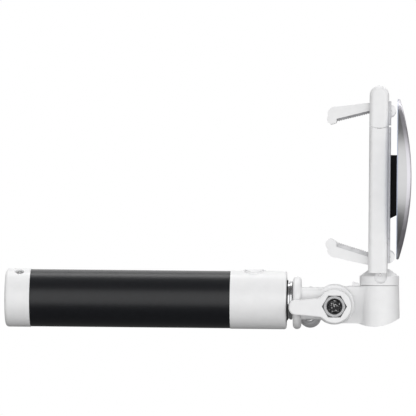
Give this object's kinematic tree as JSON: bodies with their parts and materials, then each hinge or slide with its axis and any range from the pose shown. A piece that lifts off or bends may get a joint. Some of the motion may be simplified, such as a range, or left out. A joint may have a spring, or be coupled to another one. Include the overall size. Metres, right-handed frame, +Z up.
{
  "type": "selfie stick",
  "caption": "Telescopic selfie stick with a tilting, swivelling spring phone clamp, folding claws, a curved mirror and a curly shutter lead.",
  "frame": {"origin": "middle of the grip sleeve, on the handle's axis", "axes": "+X along the handle towards the head, +Z up through the phone clamp, the shutter button faces +Z"},
  "size_m": [0.1849, 0.0595, 0.1117],
  "materials": {
    "white_plastic": "smooth moulded, semi-gloss",
    "grip_black": "satin soft-touch",
    "black_plastic": "matte moulded",
    "steel": "drawn steel",
    "pole_chrome": "polished plating",
    "bush_white": "nylon",
    "dark_screw": "black oxide",
    "nut_grey": "zinc plated",
    "board_green": "solder mask",
    "cord_grey": "satin cable sheath",
    "pad_grey": "ribbed soft pad",
    "pad_light": "ribbed soft pad",
    "cover_grey": "fine textured",
    "film_blue": "thin film",
    "silver_shell": "bright plating on moulded plastic",
    "chrome_trim": "polished plating",
    "mirror_face": "convex mirror"
  },
  "bodies": {
    "handle": {"end_cap": "white_plastic", "strap_bar": "steel", "cap_screw": "dark_screw", "tail_plug": "black_plastic", "inner_lead": "cord_grey", "grip_sleeve": "grip_black", "handle_core": "black_plastic", "handle_tube": "steel", "front_collar": "white_plastic", "case_screws": "dark_screw", "pole_guide": "black_plastic", "switch_board": "board_green", "tact_switch": "steel"},
    "button": {"shutter_button": "white_plastic"},
    "tube_1": {"pole_tube_1": "pole_chrome", "pole_bush_1": "bush_white"},
    "tube_2": {"pole_tube_2": "pole_chrome", "pole_bush_2": "bush_white"},
    "tube_3": {"pole_tube_3": "pole_chrome", "pole_bush_3": "bush_white"},
    "tube_4": {"pole_tube_4": "pole_chrome", "pole_bush_4": "bush_white"},
    "neck": {"pole_tube_5": "pole_chrome", "pole_bush_5": "bush_white", "disc_flange": "white_plastic", "neck_fork": "white_plastic", "pivot_bolt": "dark_screw", "pivot_washer": "steel", "cord_grommet": "cord_grey", "curly_cord": "cord_grey", "cord_tail": "cord_grey", "plug_body": "cord_grey", "plug_pin": "chrome_trim"},
    "lever": {"lock_lever": "white_plastic", "hex_nut": "nut_grey"},
    "head": {"tilt_base": "white_plastic", "swivel_screw": "dark_screw", "swivel_washer": "steel"},
    "latch": {"swivel_latch": "white_plastic"},
    "clamp": {"swivel_cap": "white_plastic", "foot_pins": "steel", "clamp_bottom": "white_plastic", "clamp_body": "white_plastic", "back_cover": "cover_grey", "cover_screws": "dark_screw", "clamp_springs": "steel", "mirror_mount": "black_plastic", "mirror_film": "film_blue", "mirror_shell": "silver_shell", "mirror_glass": "mirror_face", "mirror_rim": "chrome_trim", "lower_pin": "steel"},
    "jaw": {"top_slider": "white_plastic", "slider_cover": "cover_grey", "guide_rods": "steel", "upper_pin": "steel"},
    "upper_arm": {"upper_claw": "white_plastic", "upper_pad": "pad_grey"},
    "lower_arm": {"lower_claw": "white_plastic", "lower_pad": "pad_light"}
  },
  "joints": [
    {"name": "button_press", "type": "slide", "parent": "handle", "child": "button", "axis": [0, 0, -1], "range_m": [0, 0.0006], "stiffness_N_per_m": 1500},
    {"name": "pole_slide_1", "type": "slide", "parent": "handle", "child": "tube_1", "axis": [1, 0, 0], "range_m": [0, 0.094]},
    {"name": "pole_slide_2", "type": "slide", "parent": "tube_1", "child": "tube_2", "axis": [1, 0, 0], "range_m": [0, 0.097]},
    {"name": "pole_slide_3", "type": "slide", "parent": "tube_2", "child": "tube_3", "axis": [1, 0, 0], "range_m": [0, 0.095]},
    {"name": "pole_slide_4", "type": "slide", "parent": "tube_3", "child": "tube_4", "axis": [1, 0, 0], "range_m": [0, 0.094]},
    {"name": "pole_slide_5", "type": "slide", "parent": "tube_4", "child": "neck", "axis": [1, 0, 0], "range_m": [0, 0.092]},
    {"name": "lever_turn", "type": "hinge", "parent": "neck", "child": "lever", "pos_m": [0.0934, 0, -0.0023], "axis": [0, 1, 0], "range_deg": [-90, 90]},
    {"name": "head_tilt", "type": "hinge", "parent": "neck", "child": "head", "pos_m": [0.0934, 0, -0.0023], "axis": [0, 1, 0], "range_deg": [-35, 95]},
    {"name": "latch_slide", "type": "slide", "parent": "head", "child": "latch", "axis": [-1, 0, 0], "range_m": [0, 0.0018]},
    {"name": "swivel", "type": "hinge", "parent": "head", "child": "clamp", "pos_m": [0.1136, 0, 0.0071], "axis": [0, 0, 1], "continuous": true},
    {"name": "jaw_slide", "type": "slide", "parent": "clamp", "child": "jaw", "axis": [0, 0, 1], "range_m": [0, 0.025], "stiffness_N_per_m": 250, "springref_m": -0.02, "deforming": ["clamp_springs"]},
    {"name": "upper_claw_fold", "type": "hinge", "parent": "jaw", "child": "upper_arm", "pos_m": [0.1176, 0, 0.0868], "axis": [0, -1, 0], "range_deg": [0, 72]},
    {"name": "lower_claw_fold", "type": "hinge", "parent": "clamp", "child": "lower_arm", "pos_m": [0.1176, 0, 0.0203], "axis": [0, 1, 0], "range_deg": [0, 69]}
  ]
}
